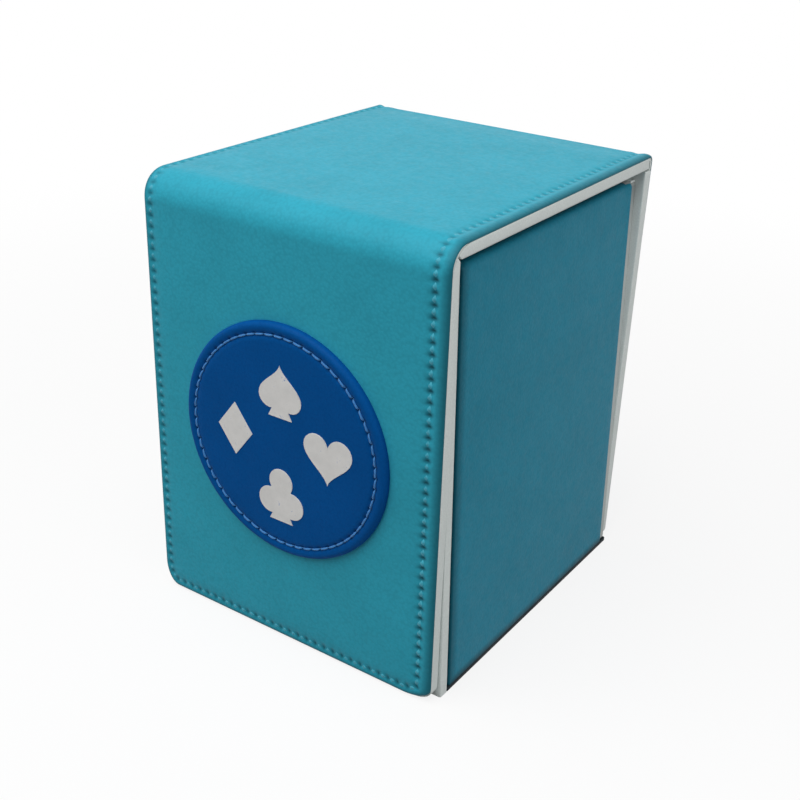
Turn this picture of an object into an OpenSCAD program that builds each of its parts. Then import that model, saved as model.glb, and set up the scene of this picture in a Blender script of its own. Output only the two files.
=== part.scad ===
// Leatherette deck box: an open card tray inside a padded cover that folds over it.
// The cover has three panels. The rear panel is glued to the tray, the lid hinges on the rear panel
// and the flap hinges on the lid. Magnets in the flap and in the tray's front wall hold it shut.
// Frame: millimetres, +Z up, front at -Y, origin in the middle of the underside.

/* [Cover] */
// Width of the cover, left to right
cover_w = 80; // [76:1:110]
// Depth over the skins, front to back
cover_d = 90; // [60:1:130]
// Height of the top of the lid above the table
cover_h = 107; // [100:1:130]
// Height of the lower edges of flap and rear panel above the table
cover_lift = 0.3; // [0.2:0.1:2]
// Radius inside the fold between lid and flap
fold_in_r = 4.9; // [3:0.1:7]
// Radius inside the hinge between rear panel and lid
hinge_in_r = 0.4; // [0.3:0.1:2]
// Radius of the skin's lower corners
skin_corner_r = 4; // [3:0.5:8]
// Radius of the lined boards' lower corners
board_corner_r = 3; // [1:0.5:4]

/* [Cover layers] */
// Thickness of the leatherette skin
skin_t = 0.6; // [0.4:0.1:1.2]
// Thickness of the foam under the skin
pad_t = 0.6; // [0.2:0.1:1]
// Width of the skin's turned edge, beside the foam
skin_lip = 2; // [1:0.5:3]
// Thickness of the board in each panel
board_t = 1.8; // [1.6:0.1:3]
// Thickness of the lining wrapped round each board
lining_t = 0.6; // [0.4:0.1:1]
// Thickness of the lining strip inside each fold
strip_t = 0.4; // [0.3:0.1:0.8]

/* [Tray] */
// Distance that the tray's side walls stand out past the cover's side edges, at the table
foot_out = 0.8; // [-3:0.1:1]
// Lean of each side wall, inwards from table to rim
rim_inset = 2.6; // [0:0.1:4]
// Thickness of the skin on the side walls
wall_skin_t = 0.8; // [0.5:0.1:1.2]
// Thickness of the boards in the side walls and the rear wall
wall_board_t = 1.8; // [1.2:0.1:3]
// Thickness of the lining in the card bay
wall_lining_t = 0.5; // [0.3:0.1:1]
// Length of the side walls' skin turned down inside the rim
turn_in = 8; // [3:0.5:20]
// Thickness of the board in the front wall
front_board_t = 1.6; // [1.4:0.1:3]
// Thickness of the dark skin under the tray
base_skin_t = 1.2; // [0.6:0.1:2]
// Thickness of the board in the tray's floor
base_board_t = 2; // [1.2:0.1:3]
// Width of the thumb notch in the front wall
notch_w = 30; // [16:1:40]
// Depth of the thumb notch below the rim
notch_depth = 22; // [17:1:40]

/* [Closure] */
// Diameter of the magnets
magnet_d = 10; // [6:0.5:14]
// Thickness of the magnets
magnet_t = 1; // [0.8:0.1:1.2]
// Distance between the two magnets of a pair
magnet_spacing = 44; // [24:1:56]
// Height of the magnets above the table
magnet_z = 14; // [12:1:24]

/* [Badge] */
// Diameter of the badge
badge_d = 56; // [52:1:66]
// Thickness of the badge
badge_t = 2; // [1.8:0.1:3]
// Radius of the badge's rolled edge
badge_edge_r = 1.2; // [0.5:0.1:1.6]
// Distance from the badge's stitches in to its core
badge_core_inset = 1.3; // [0.6:0.1:4]
// Thickness of the core inside the badge
badge_core_t = 1.2; // [0.8:0.1:1.4]
// Distance from the badge's edge in to its stitches
badge_stitch_inset = 2.7; // [2:0.1:4]
// Thickness of the printed motif
print_t = 0.15; // [0.1:0.05:0.3]
// Width of the printed suit signs
suit_size = 13; // [8:0.5:14]
// Distance from the badge's stitches in to the suit signs
suit_margin = 5.8; // [3:0.1:7]

/* [Stitching] */
// Distance from the cover's edge in to the stitches
stitch_inset = 3.4; // [2:0.1:5]
// Distance from one stitch to the next
stitch_pitch = 2.6; // [2:0.1:5]
// Length at each hole where the thread lies low
stitch_hole = 0.7; // [0.4:0.1:1.2]
// Length of the thread's rise beside a hole
stitch_rise = 0.35; // [0.2:0.05:0.5]
// Width of the thread
thread_w = 0.6; // [0.3:0.05:1]
// Height of a stitch above the skin
thread_h = 0.35; // [0.2:0.05:0.6]
// Height of the thread at a hole
thread_low_h = 0.1; // [0.05:0.01:0.15]

/* [Clearances] */
// Gap between the flap and the tray's front wall
flap_gap = 0.3; // [0.2:0.1:1]
// Gap between the lid and the tray's rim
lid_gap = 2.6; // [0.2:0.1:4]
// Gap between the lined boards at the two folds
fold_gap = 0.4; // [0.2:0.1:1]
// Glue line beside the strips inside the folds
glue_gap = 0.1; // [0.05:0.01:0.15]
// Gap between a magnet and its pocket
magnet_gap = 0.1; // [0.05:0.05:0.3]

/* [Hidden] */
$fn = 64;

TEAL = "#2f8ba3";
THREAD = "#1f5f75";
PALE = "#d9dcd8";
BOARD = "#8f8b84";
FOAM = "#c8c6bc";
DARK = "#1b272d";
BLUE = "#0a4a86";
WHITE = "#e8e7e4";
STEEL = "#a9acae";

// How far a cutter reaches past what it cuts
cut = 1;

// The cover's layers, measured in from the outer faces
outer_t = skin_t + pad_t;
panel_t = outer_t + board_t + lining_t;
front_y = -cover_d / 2;
front_board_y = front_y + outer_t;
flap_in_y = front_y + panel_t;
lid_board_z = cover_h - outer_t;
lid_in_z = cover_h - panel_t;

// The two folds: their outer radii and the centres that they bend about
fold_r = fold_in_r + strip_t + outer_t;
fold_y = front_y + fold_r;
fold_z = cover_h - fold_r;
hinge_r = hinge_in_r + strip_t + outer_t;
hinge_y = cover_d / 2 - hinge_r;
hinge_z = cover_h - hinge_r;
rear_top_z = lid_in_z - fold_gap;

// The lined boards of lid and flap meet on the line y + z = mitre, which runs through the inner corner
mitre = flap_in_y + lid_in_z;

// The tray, between the flap and the rear panel
rim_z = lid_in_z - lid_gap;
tray_front_y = flap_in_y + flap_gap;
tray_rear_y = cover_d / 2 - panel_t;
bay_front_y = tray_front_y + front_board_t + 2 * wall_lining_t;
rear_board_y = tray_rear_y - wall_board_t;
bay_rear_y = rear_board_y - wall_lining_t;
wall_t = wall_skin_t + wall_board_t + wall_lining_t;
floor_board_z = base_skin_t + base_board_t;
floor_z = floor_board_z + wall_lining_t;

badge_stitch_r = badge_d / 2 - badge_stitch_inset;
badge_core_r = badge_stitch_r - badge_core_inset;
suit_ring_r = badge_stitch_r - suit_margin - suit_size / 2;

// Steps round the curve of a heart, its width in the curve's own units and the drop of its middle
heart_steps = 48;
heart_span = 32;
heart_drop = 2.5;

// Half-width of the tray at height z, measured at a depth inside its outer face
function wall_x(z, depth) = cover_w / 2 + foot_out - rim_inset * z / rim_z - depth;

// Extrudes an outline drawn in y and z across the box
module along_x(x0, x1) {
    translate([x0, 0, 0])
        rotate([90, 0, 90])
            linear_extrude(x1 - x0)
                children();
}

// Extrudes an outline drawn in x and z from front to back
module along_y(y0, y1) {
    translate([0, y1, 0])
        rotate([90, 0, 0])
            linear_extrude(y1 - y0)
                children();
}

module to_left() {
    mirror([1, 0, 0])
        children();
}

// The rear panel is built as the flap is, facing the other way
module to_rear() {
    mirror([0, 1, 0])
        children();
}

// Cover panels

// Outline of an upright panel with round lower corners
module panel_outline(inset, corner_r, top_z) {
    half_w = cover_w / 2 - inset;
    low_z = cover_lift + inset;
    r = corner_r - inset;
    translate([-half_w, low_z + r])
        square([2 * half_w, top_z - low_z - r]);
    translate([-half_w + r, low_z])
        square([2 * (half_w - r), 2 * r]);
    for (side = [-1, 1])
        translate([side * (half_w - r), low_z + r])
            circle(r);
}

// Skin of an upright panel, hollowed behind for the foam
module upright_skin(top_z) {
    difference() {
        along_y(front_y, front_board_y)
            panel_outline(0, skin_corner_r, top_z);
        along_y(front_y + skin_t, front_board_y + cut)
            panel_outline(skin_lip, skin_corner_r, top_z + cut);
    }
}

module upright_padding(top_z) {
    along_y(front_y + skin_t, front_board_y)
        panel_outline(skin_lip, skin_corner_r, top_z);
}

module flap_skin() {
    color(TEAL)
        upright_skin(fold_z);
}

module flap_padding() {
    color(FOAM)
        upright_padding(fold_z);
}

module rear_panel_skin() {
    color(TEAL)
        to_rear()
            upright_skin(hinge_z);
}

module rear_panel_padding() {
    color(FOAM)
        to_rear()
            upright_padding(hinge_z);
}

module lid_skin() {
    half_w = cover_w / 2;
    color(TEAL)
        difference() {
            along_y(fold_y, hinge_y)
                translate([-half_w, lid_board_z])
                    square([cover_w, outer_t]);
            along_y(fold_y - cut, hinge_y + cut)
                translate([skin_lip - half_w, lid_board_z - cut])
                    square([cover_w - 2 * skin_lip, pad_t + cut]);
        }
}

module lid_padding() {
    color(FOAM)
        along_y(fold_y, hinge_y)
            translate([skin_lip - cover_w / 2, lid_board_z])
                square([cover_w - 2 * skin_lip, pad_t]);
}

// Side view of the lid's lined board: mitred at the fold and rounded to sit inside the folded skin
module lid_slab_outline(inset) {
    low_z = lid_in_z + inset;
    end_y = hinge_y - glue_gap - inset;
    reach = mitre + (fold_gap / 2 + inset) * sqrt(2);
    intersection() {
        polygon([
            [reach - low_z, low_z],
            [end_y, low_z],
            [end_y, lid_board_z],
            [reach - lid_board_z, lid_board_z],
        ]);
        union() {
            translate([fold_y, low_z])
                square([end_y - fold_y, lid_board_z - low_z]);
            translate([fold_y, fold_z])
                circle(fold_in_r - glue_gap - inset);
        }
    }
}

// Side view of the flap's lined board, the lid's counterpart across the mitre
module flap_slab_outline(inset) {
    in_y = flap_in_y - inset;
    reach = mitre - (fold_gap / 2 + inset) * sqrt(2);
    intersection() {
        polygon([
            [front_board_y, cover_lift],
            [in_y, cover_lift],
            [in_y, reach - in_y],
            [front_board_y, reach - front_board_y],
        ]);
        union() {
            translate([front_board_y, cover_lift])
                square([in_y - front_board_y, fold_z - cover_lift]);
            translate([fold_y, fold_z])
                circle(fold_in_r - glue_gap - inset);
        }
    }
}

module lid_slab(inset) {
    along_x(inset - cover_w / 2, cover_w / 2 - inset)
        lid_slab_outline(inset);
}

module flap_slab(inset) {
    intersection() {
        along_x(-cover_w / 2, cover_w / 2)
            flap_slab_outline(inset);
        along_y(front_y, flap_in_y)
            panel_outline(inset, board_corner_r, cover_h);
    }
}

module rear_slab(inset) {
    to_rear()
        along_y(front_board_y, flap_in_y - inset)
            panel_outline(inset, board_corner_r, rear_top_z - inset);
}

module lid_board() {
    color(BOARD)
        lid_slab(lining_t);
}

module lid_lining() {
    color(PALE)
        difference() {
            lid_slab(0);
            lid_slab(lining_t);
        }
}

module flap_board() {
    color(BOARD)
        difference() {
            flap_slab(lining_t);
            magnet_pockets(flap_in_y - lining_t - magnet_t - magnet_gap, flap_in_y);
        }
}

module flap_lining() {
    color(PALE)
        difference() {
            flap_slab(0);
            flap_slab(lining_t);
        }
}

module rear_panel_board() {
    color(BOARD)
        rear_slab(lining_t);
}

module rear_panel_lining() {
    color(PALE)
        difference() {
            rear_slab(0);
            rear_slab(lining_t);
        }
}

// Folds

// Quarter of a disc above its centre, on the negative (-1) or the positive (1) side
module quarter_disc(r, side) {
    intersection() {
        circle(r);
        translate([side < 0 ? -r : 0, 0])
            square(r);
    }
}

module quarter_ring(in_r, out_r, side) {
    difference() {
        quarter_disc(out_r, side);
        circle(in_r);
    }
}

module front_fold_skin() {
    color(TEAL)
        along_x(-cover_w / 2, cover_w / 2)
            translate([fold_y, fold_z])
                quarter_ring(fold_r - outer_t, fold_r, -1);
}

module front_fold_lining() {
    color(PALE)
        along_x(-cover_w / 2, cover_w / 2)
            translate([fold_y, fold_z])
                quarter_ring(fold_in_r, fold_in_r + strip_t - glue_gap, -1);
}

module rear_hinge_skin() {
    color(TEAL)
        along_x(-cover_w / 2, cover_w / 2)
            translate([hinge_y, hinge_z])
                quarter_ring(hinge_r - outer_t, hinge_r, 1);
}

module rear_hinge_lining() {
    low_z = rear_top_z + glue_gap;
    color(PALE)
        along_x(-cover_w / 2, cover_w / 2) {
            translate([hinge_y, hinge_z])
                quarter_ring(hinge_in_r, hinge_in_r + strip_t - glue_gap, 1);
            translate([hinge_y + hinge_in_r, low_z])
                square([strip_t - glue_gap, hinge_z - low_z]);
        }
}

// Tray

// Trapezoid across the tray at a depth inside its outer side faces
module tray_section(depth, z0, z1) {
    polygon([
        [-wall_x(z0, depth), z0],
        [wall_x(z0, depth), z0],
        [wall_x(z1, depth), z1],
        [-wall_x(z1, depth), z1],
    ]);
}

// Layer of the right side wall, between two depths inside its outer face
module wall_layer(depth0, depth1, z0, z1) {
    polygon([
        [wall_x(z0, depth1), z0],
        [wall_x(z0, depth0), z0],
        [wall_x(z1, depth0), z1],
        [wall_x(z1, depth1), z1],
    ]);
}

module base_skin() {
    color(DARK)
        along_y(bay_front_y, tray_rear_y)
            translate([-wall_x(0, 0), 0])
                square([2 * wall_x(0, 0), base_skin_t]);
}

module base_board() {
    color(BOARD)
        along_y(bay_front_y, rear_board_y)
            tray_section(wall_skin_t + wall_board_t, base_skin_t, floor_board_z);
}

module floor_lining() {
    color(PALE)
        along_y(bay_front_y, bay_rear_y)
            tray_section(wall_t, floor_board_z, floor_z);
}

module side_board() {
    color(BOARD)
        along_y(bay_front_y, rear_board_y)
            wall_layer(wall_skin_t, wall_skin_t + wall_board_t, base_skin_t, rim_z - wall_skin_t);
}

// The side wall's skin covers its board, laps over the rim and turns down inside
module side_skin() {
    cap_z = rim_z - wall_skin_t;
    color(TEAL) {
        along_y(bay_front_y, tray_rear_y)
            wall_layer(0, wall_skin_t, base_skin_t, rim_z);
        along_y(bay_front_y, bay_rear_y) {
            wall_layer(0, wall_t, cap_z, rim_z);
            wall_layer(wall_skin_t + wall_board_t, wall_t, rim_z - turn_in, rim_z);
        }
    }
}

module side_lining() {
    color(PALE)
        along_y(bay_front_y, bay_rear_y)
            wall_layer(wall_skin_t + wall_board_t, wall_t, floor_board_z, rim_z - turn_in);
}

module left_wall_board() {
    to_left()
        side_board();
}

module right_wall_board() {
    side_board();
}

module left_wall_skin() {
    to_left()
        side_skin();
}

module right_wall_skin() {
    side_skin();
}

module left_wall_lining() {
    to_left()
        side_lining();
}

module right_wall_lining() {
    side_lining();
}

// Thumb notch with a round bottom
module notch_outline(grow) {
    round_z = rim_z - notch_depth + notch_w / 2;
    half_w = notch_w / 2 + grow;
    translate([0, round_z])
        circle(half_w);
    translate([-half_w, round_z])
        square([2 * half_w, rim_z + cut - round_z]);
}

// The front wall stands on the table, in front of the base
module front_wall_block(inset) {
    difference() {
        along_y(tray_front_y + inset, bay_front_y - inset)
            tray_section(inset, 0, rim_z - inset);
        along_y(tray_front_y - cut, bay_front_y + cut)
            notch_outline(inset);
    }
}

module front_wall_board() {
    board_y = tray_front_y + wall_lining_t;
    color(BOARD)
        difference() {
            front_wall_block(wall_lining_t);
            magnet_pockets(tray_front_y, board_y + magnet_t + magnet_gap);
        }
}

module front_wall_lining() {
    color(PALE)
        difference() {
            front_wall_block(0);
            front_wall_block(wall_lining_t);
        }
}

module rear_wall_board() {
    color(BOARD)
        along_y(rear_board_y, tray_rear_y)
            tray_section(wall_skin_t, base_skin_t, rim_z - wall_lining_t);
}

// Lining of the rear wall, lapped over its board at the rim
module rear_wall_lining() {
    cap_z = rim_z - wall_lining_t;
    color(PALE) {
        along_y(bay_rear_y, rear_board_y)
            tray_section(wall_skin_t + wall_board_t, floor_board_z, cap_z);
        along_y(bay_rear_y, tray_rear_y)
            tray_section(wall_skin_t, cap_z, rim_z);
    }
}

// Closure

// A pair of upright discs between two depths
module disc_pair(y0, y1, d) {
    for (side = [-1, 1])
        translate([side * magnet_spacing / 2, y1, magnet_z])
            rotate([90, 0, 0])
                cylinder(d = d, h = y1 - y0);
}

module magnet_pockets(y0, y1) {
    disc_pair(y0, y1, magnet_d + 2 * magnet_gap);
}

module flap_magnets() {
    in_y = flap_in_y - lining_t;
    color(STEEL)
        disc_pair(in_y - magnet_t, in_y, magnet_d);
}

module tray_magnets() {
    out_y = tray_front_y + wall_lining_t;
    color(STEEL)
        disc_pair(out_y, out_y + magnet_t, magnet_d);
}

// Stitching

// A straight row of stitches centred on the origin along x: one thread that lies low at each hole
module thread_row(length) {
    count = floor(length / stitch_pitch);
    low = stitch_hole / 2;
    high = low + stitch_rise;
    arches = [
        for (i = [0 : count - 1])
            for (point = [
                [low, thread_low_h],
                [high, thread_h],
                [stitch_pitch - high, thread_h],
                [stitch_pitch - low, thread_low_h],
            ])
                [i * stitch_pitch, 0] + point
    ];
    run = count * stitch_pitch;
    translate([-run / 2, thread_w / 2, 0])
        rotate([90, 0, 0])
            linear_extrude(thread_w)
                polygon(concat([[0, 0], [0, thread_low_h]], arches, [[run, thread_low_h], [run, 0]]));
}

// Rows down both sides and along the lower edge of an upright panel
module upright_stitching(top_z) {
    low_z = cover_lift + skin_corner_r;
    for (side = [-1, 1])
        translate([side * (cover_w / 2 - stitch_inset), front_y, (low_z + top_z) / 2])
            rotate([90, 0, 0])
                rotate([0, 0, 90])
                    thread_row(top_z - low_z);
    translate([0, front_y, cover_lift + stitch_inset])
        rotate([90, 0, 0])
            thread_row(cover_w - 2 * skin_corner_r);
}

module flap_stitching() {
    color(THREAD)
        upright_stitching(fold_z);
}

module rear_stitching() {
    color(THREAD)
        to_rear()
            upright_stitching(hinge_z);
}

module lid_stitching() {
    color(THREAD)
        for (side = [-1, 1])
            translate([side * (cover_w / 2 - stitch_inset), (fold_y + hinge_y) / 2, cover_h])
                rotate([0, 0, 90])
                    thread_row(hinge_y - fold_y);
}

// Badge

// Turns a shape drawn flat in x and y to lie on the flap at its middle
module on_flap() {
    translate([0, front_y, cover_h / 2])
        rotate([90, 0, 0])
            children();
}

module badge_patch() {
    r = badge_d / 2;
    flat_r = r - badge_edge_r;
    color(BLUE)
        on_flap()
            difference() {
                rotate_extrude() {
                    square([flat_r, badge_t]);
                    square([r, badge_t - badge_edge_r]);
                    translate([flat_r, badge_t - badge_edge_r])
                        quarter_disc(badge_edge_r, 1);
                }
                translate([0, 0, -cut])
                    cylinder(r = badge_core_r, h = badge_core_t + cut);
            }
}

module badge_core() {
    color(BOARD)
        on_flap()
            cylinder(r = badge_core_r, h = badge_core_t);
}

module badge_stitching() {
    count = floor(2 * PI * badge_stitch_r / stitch_pitch);
    turn = 360 / count;
    stitch_turn = turn * (stitch_pitch - stitch_hole) / stitch_pitch;
    color(THREAD)
        on_flap()
            for (i = [0 : count - 1])
                rotate([0, 0, i * turn])
                    translate([0, 0, badge_t])
                        rotate_extrude(angle = stitch_turn)
                            translate([badge_stitch_r - thread_w / 2, 0])
                                square([thread_w, thread_h]);
}

// Printed card suits, each about its own middle and as tall as it is wide, or nearly

function heart_point(turn) = [
    -16 * pow(sin(turn), 3),
    13 * cos(turn) - 5 * cos(2 * turn) - 2 * cos(3 * turn) - cos(4 * turn) + heart_drop,
];

module heart(size) {
    polygon([for (i = [0 : heart_steps - 1]) heart_point(360 * i / heart_steps) * size / heart_span]);
}

module suit_stem(size) {
    foot = size / 4;
    polygon([[0, 0], [-foot, -size / 2], [foot, -size / 2]]);
}

module spade(size) {
    head = size * 0.9;
    translate([0, (size - head) / 2])
        rotate([0, 0, 180])
            heart(head);
    suit_stem(size);
}

module club(size) {
    lobe_d = size / 2;
    reach = size * 0.27;
    for (turn = [90, 210, 330])
        rotate([0, 0, turn])
            translate([reach, 0])
                circle(d = lobe_d);
    circle(d = lobe_d);
    suit_stem(size);
}

module diamond(size) {
    half_w = size * 0.38;
    polygon([[0, size / 2], [-half_w, 0], [0, -size / 2], [half_w, 0]]);
}

module badge_print() {
    color(WHITE)
        on_flap()
            translate([0, 0, badge_t])
                linear_extrude(print_t) {
                    translate([0, suit_ring_r])
                        spade(suit_size);
                    translate([suit_ring_r, 0])
                        heart(suit_size);
                    translate([0, -suit_ring_r])
                        club(suit_size);
                    translate([-suit_ring_r, 0])
                        diamond(suit_size);
                }
}

base_skin();
base_board();
floor_lining();
left_wall_board();
right_wall_board();
left_wall_skin();
right_wall_skin();
left_wall_lining();
right_wall_lining();
front_wall_board();
front_wall_lining();
tray_magnets();
rear_wall_board();
rear_wall_lining();
rear_panel_board();
rear_panel_padding();
rear_panel_skin();
rear_panel_lining();
rear_stitching();
rear_hinge_skin();
rear_hinge_lining();
lid_board();
lid_padding();
lid_skin();
lid_lining();
lid_stitching();
front_fold_skin();
front_fold_lining();
flap_board();
flap_padding();
flap_skin();
flap_lining();
flap_magnets();
flap_stitching();
badge_core();
badge_patch();
badge_print();
badge_stitching();
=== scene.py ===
import math

import bmesh
import bpy
import numpy as np
from mathutils import Matrix, Vector, noise


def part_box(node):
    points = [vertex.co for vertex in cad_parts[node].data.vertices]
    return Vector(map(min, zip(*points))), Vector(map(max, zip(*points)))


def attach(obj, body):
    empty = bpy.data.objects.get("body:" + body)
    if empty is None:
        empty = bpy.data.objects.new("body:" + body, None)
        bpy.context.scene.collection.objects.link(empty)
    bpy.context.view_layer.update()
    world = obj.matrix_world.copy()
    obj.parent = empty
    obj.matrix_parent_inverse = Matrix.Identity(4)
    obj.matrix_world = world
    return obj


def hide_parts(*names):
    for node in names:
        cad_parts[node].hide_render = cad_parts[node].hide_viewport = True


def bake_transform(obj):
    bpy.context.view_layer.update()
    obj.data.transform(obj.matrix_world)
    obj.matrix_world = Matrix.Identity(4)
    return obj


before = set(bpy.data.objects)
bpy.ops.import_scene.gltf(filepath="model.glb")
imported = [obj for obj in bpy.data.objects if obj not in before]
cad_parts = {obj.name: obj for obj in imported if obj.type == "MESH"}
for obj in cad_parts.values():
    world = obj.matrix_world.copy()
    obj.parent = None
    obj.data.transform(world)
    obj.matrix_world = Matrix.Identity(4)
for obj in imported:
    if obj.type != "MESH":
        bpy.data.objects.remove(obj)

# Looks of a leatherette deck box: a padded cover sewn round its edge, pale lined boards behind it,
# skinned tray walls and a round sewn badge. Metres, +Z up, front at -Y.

MM = 0.001
QUARTER = math.pi / 2

# Gaps too small to see: one keeps faces from touching, the other keeps a size above nothing

HAIR = 0.02 * MM
SPECK = 0.001 * MM

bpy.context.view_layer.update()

# Sizes and places read from the frame

flap_lo, flap_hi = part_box("flap_skin")
lid_lo, lid_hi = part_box("lid_skin")
rear_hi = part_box("rear_panel_skin")[1]
foam_lo, foam_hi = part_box("flap_padding")
flap_in_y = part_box("flap_lining")[1].y
lid_in_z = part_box("lid_lining")[0].z
lid_end_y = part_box("lid_lining")[1].y
rear_top_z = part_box("rear_panel_lining")[1].z
wall_lo, wall_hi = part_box("front_wall_lining")
side_lo, side_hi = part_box("right_wall_skin")
bay_rear_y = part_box("right_wall_lining")[1].y
badge_lo, badge_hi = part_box("badge_patch")
hinge_strip_low_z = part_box("rear_hinge_lining")[0].z

half_w = lid_hi.x
front_y, rear_y = flap_lo.y, rear_hi.y
low_z, top_z = flap_lo.z, lid_hi.z
fold_y, fold_z = lid_lo.y, flap_hi.z
hinge_y, hinge_z = lid_hi.y, rear_hi.z
fold_r, hinge_r = top_z - fold_z, top_z - hinge_z
cover_t = flap_hi.y - flap_lo.y
skin_t = foam_lo.y - front_y
skin_lip = half_w - foam_hi.x
rim_z = wall_hi.z
foot_x, base_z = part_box("base_skin")[1].x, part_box("base_skin")[1].z

# Sizes that no node's box shows

LINING_T = 0.6 * MM
FOLD_GAP = 0.4 * MM
EDGE_T = 0.85 * MM
FOLD_BACK_R = 4.6 * MM
SLAB_R = 6.2 * MM
HINGE_STRIP_R = 0.4 * MM
HINGE_STRIP_T = 0.72 * MM
STRIP_T = 0.6 * MM
RIM_INSET = 2.6 * MM
WALL_SKIN_T = 0.8 * MM
WALL_TURN_T = 0.5 * MM
WALL_T = 3.1 * MM
TURN_IN = 8 * MM
NOTCH_W = 30 * MM
NOTCH_DEPTH = 22 * MM

# The skin's soft lower corners, right and left: how far each goes along the lower edge and up the side

FLAP_CORNERS = ((7.5 * MM, 3.5 * MM), (4 * MM, 6.5 * MM))
REAR_CORNERS = ((2.4 * MM, 2.4 * MM), (2.4 * MM, 2.4 * MM))

# Those of the lined boards, which are squarer

FLAP_BOARD_CORNERS = ((5.2 * MM, 3 * MM), (3 * MM, 5.2 * MM))
REAR_BOARD_CORNERS = ((2 * MM, 2 * MM), (2 * MM, 2 * MM))

# How much narrower the rear panel's skin and its lined board are at the lower end, on each side

REAR_NARROW = 1 * MM
BOARD_NARROW = 0.5 * MM

# Stitching. The rows on the left and along the lower ends run nearer the edge, with shallower holes.
# The last three say how a stitch lies: how far it is sunk and dives at its ends, in thread radii, and how
# flat its bow is.

STITCH_INSET = 3.4 * MM
NEAR_INSET = 1.9 * MM
NEAR_PITS = 0.75
STITCH_PITCH = 2.6 * MM
ROWS_PER_STITCH = 6
THREAD_W = 0.62 * MM
THREAD_R = 0.24 * MM
HOLE_STEP = 0.1 * MM
BADGE_STITCH_INSET = 2.7 * MM
THREAD_SUNK = 0.45
THREAD_DIVE = 3
THREAD_BOW = 1.7

# The skin's relief: the rolled edge, with painted shade on it that reaches further at the panels' lower ends,
# the dip sewn along the stitches, the needle holes, with painted shade in them, and the crown that the foam
# gives

EDGE_W = 1.8 * MM
EDGE_DEPTH = 0.7 * MM
EDGE_SHADE = 0.8
SHADE_W = 2.3 * MM
END_SHADE_W = 1 * MM
SEAM_DIP = 0.16 * MM
SEAM_W = 1 * MM
PIT_DEPTH = 0.4 * MM
SEWN_MOST = 0.7
PIT_ALONG = 0.38 * MM
PIT_ACROSS = 0.62 * MM
LID_PITS = 0.45
CROWN = 0.3 * MM
CROWN_W = 5 * MM
HINGE_DIP = 0.4 * MM
HINGE_DIP_W = 7 * MM
UNEVEN = 0.1 * MM
UNEVEN_SPAN = 26 * MM

# The cover's mesh: the corner zone, the innermost fine ring, the steps between, the seam's distance from the
# hinge, and the slope of the skin's back beside the foam

ZONE = 8.7 * MM
LAST_RING = 6.5 * MM
ARM_STEPS = 14
COARSE_COLUMN = 12
SEAM_BACK = 6 * MM
FOAM_STEP = 0.2 * MM

# The photograph's camera, from a fit to the box's corners

VIEW_AZIMUTH = 33.88
VIEW_ELEVATION = 25.93
VIEW_ROLL = 1.96
VIEW_DISTANCE = 305.4 * MM
VIEW_TARGET = Vector((-0.57, 0, 46.2)) * MM
LENS_MM = 54.98
SENSOR_MM = 36

# Colours, linear

TEAL = (0.032, 0.39, 0.525)
WALL_TEAL = (0.014, 0.234, 0.347)
EDGE_TEAL = (0.014, 0.12, 0.155)
DARK = (0.012, 0.02, 0.025)
# PALE's slight cyan tint is painted reflection of the teal cover
PALE = (0.82, 0.88, 0.86)
BLUE = (0.001, 0.085, 0.32)
TEAL_THREAD = (0.04, 0.4, 0.53)
BLUE_THREAD = (0.04, 0.24, 0.6)
INK = (0.82, 0.81, 0.79)
BOARD = (0.27, 0.26, 0.23)
FOAM = (0.57, 0.56, 0.5)
NICKEL = (0.6, 0.6, 0.62)


# Meshes


def bridge(a, b, closed=False):
    """Four-sided faces between two rows of vertex numbers."""
    count = len(a)
    last = count if closed else count - 1
    return [(a[i], a[(i + 1) % count], b[(i + 1) % count], b[i]) for i in range(last)]


class Build:
    """Points and faces of a mesh in the making, with a map of the flat sheet and, for each point, a share of
    painted shade.
    """

    def __init__(self):
        self.points, self.maps, self.marks = [], [], []
        self.faces, self.finishes = [], []
        self.count = 0

    def row(self, points, flat=None, marks=None):
        """Adds points and returns their numbers. flat is their place on the flat sheet."""
        points = np.asarray(points, float).reshape(-1, 3)
        self.points.append(points)
        self.maps.append(points[:, [0, 2]] if flat is None else flat)
        self.marks.append(np.zeros(len(points)) if marks is None else marks)
        self.count += len(points)
        return list(range(self.count - len(points), self.count))

    def add(self, faces, finish=0):
        self.faces += faces
        self.finishes += [finish] * len(faces)

    def make(self, name, materials, sharp=40):
        """The finished object: its faces turned outwards and smooth, apart from edges over sharp degrees."""
        mesh = bpy.data.meshes.new(name)
        mesh.from_pydata(np.concatenate(self.points).tolist(), [], self.faces)
        mesh.polygons.foreach_set("material_index", self.finishes)
        # Each point's share of painted shade, which the leatherette and lining materials darken by
        marks = mesh.attributes.new("painted_shade", "FLOAT", "POINT")
        marks.data.foreach_set("value", np.concatenate(self.marks).astype(np.float32))
        corners = np.zeros(len(mesh.loops), int)
        mesh.loops.foreach_get("vertex_index", corners)
        flat = mesh.uv_layers.new(name="sheet")
        flat.data.foreach_set("uv", np.concatenate(self.maps)[corners].astype(np.float32).ravel())
        work = bmesh.new()
        work.from_mesh(mesh)
        bmesh.ops.recalc_face_normals(work, faces=work.faces)
        work.to_mesh(mesh)
        work.free()
        mesh.shade_smooth()
        mesh.set_sharp_from_angle(angle=math.radians(sharp))
        for material in materials:
            mesh.materials.append(material)
        made = bpy.data.objects.new(name, mesh)
        bpy.context.scene.collection.objects.link(made)
        return made


def stacked(name, rings, materials):
    """A closed form through rings of points, with a flat face at each end."""
    build = Build()
    numbers = [build.row(ring) for ring in rings]
    for a, b in zip(numbers, numbers[1:]):
        build.add(bridge(a, b, closed=True))
    build.add([numbers[0][::-1], numbers[-1]])
    return build.make(name, materials)


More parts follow.
